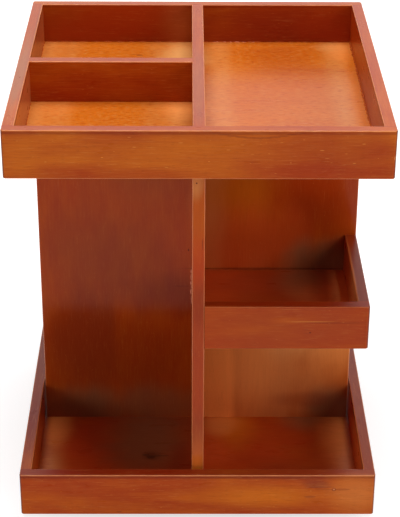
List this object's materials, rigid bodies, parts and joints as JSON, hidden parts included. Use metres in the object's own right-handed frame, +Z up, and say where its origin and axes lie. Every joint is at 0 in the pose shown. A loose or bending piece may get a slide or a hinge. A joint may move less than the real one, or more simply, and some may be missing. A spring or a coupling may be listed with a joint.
{
  "type": "rotating makeup organizer",
  "caption": "Rotating makeup organizer: square stained-wood trays at top and bottom, a crossed core with open bays and small shelf trays, on a ball turntable with rubber feet.",
  "frame": {"origin": "on the table under the middle of the square trays, which is the turntable's axis", "axes": "+Z up along the turntable's axis, -Y to the front that the picture shows, +X to the viewer's right"},
  "size_m": [0.25, 0.25, 0.304],
  "materials": {
    "rail_wood": "stained hardwood, satin lacquer",
    "core_wood": "stained boards, darker, satin lacquer",
    "floor_plywood": "thin stained plywood, satin lacquer",
    "dowel_wood": "plain beech dowel",
    "turntable_steel": "zinc plated pressed steel",
    "rivet_steel": "zinc plated",
    "ball_steel": "polished bearing steel",
    "cage_plastic": "natural nylon",
    "washer_plastic": "natural nylon",
    "foot_rubber": "black rubber",
    "screw_steel": "yellow zinc plated",
    "brad_steel": "bright steel"
  },
  "bodies": {
    "base": {"turntable_lower_plate": "turntable_steel", "rubber_feet": "foot_rubber", "centre_rivet": "rivet_steel", "centre_washer": "washer_plastic"},
    "organizer": {"top_tray_front_rail": "rail_wood", "top_tray_back_rail": "rail_wood", "top_tray_left_rail": "rail_wood", "top_tray_right_rail": "rail_wood", "bottom_tray_front_rail": "rail_wood", "bottom_tray_back_rail": "rail_wood", "bottom_tray_left_rail": "rail_wood", "bottom_tray_right_rail": "rail_wood", "top_tray_long_divider": "rail_wood", "top_tray_cross_divider": "rail_wood", "front_shelf_face_rail": "rail_wood", "front_shelf_side_rail": "rail_wood", "front_shelf_floor": "floor_plywood", "rear_shelf_face_rail": "rail_wood", "rear_shelf_side_rail": "rail_wood", "rear_shelf_floor": "floor_plywood", "top_tray_floor": "floor_plywood", "bottom_tray_floor": "floor_plywood", "cross_panel": "core_wood", "front_partition": "core_wood", "rear_partition": "core_wood", "top_tray_brads": "brad_steel", "bottom_tray_brads": "brad_steel", "front_shelf_brads": "brad_steel", "rear_shelf_brads": "brad_steel", "bottom_core_screws": "screw_steel", "top_core_screws": "screw_steel", "turntable_screws": "screw_steel", "core_dowels": "dowel_wood", "turntable_upper_plate": "turntable_steel"},
    "ball_cage": {"ball_cage": "cage_plastic", "bearing_balls": "ball_steel"}
  },
  "joints": [
    {"name": "turntable_spin", "type": "hinge", "parent": "base", "child": "organizer", "pos_m": [0, 0, 0.0052], "axis": [0, 0, 1], "continuous": true},
    {"name": "cage_roll", "type": "hinge", "parent": "base", "child": "ball_cage", "pos_m": [0, 0, 0.0052], "axis": [0, 0, 1], "continuous": true}
  ],
  "couplings": [
    {"joint": "cage_roll", "follows": "turntable_spin", "ratio": 0.5}
  ]
}
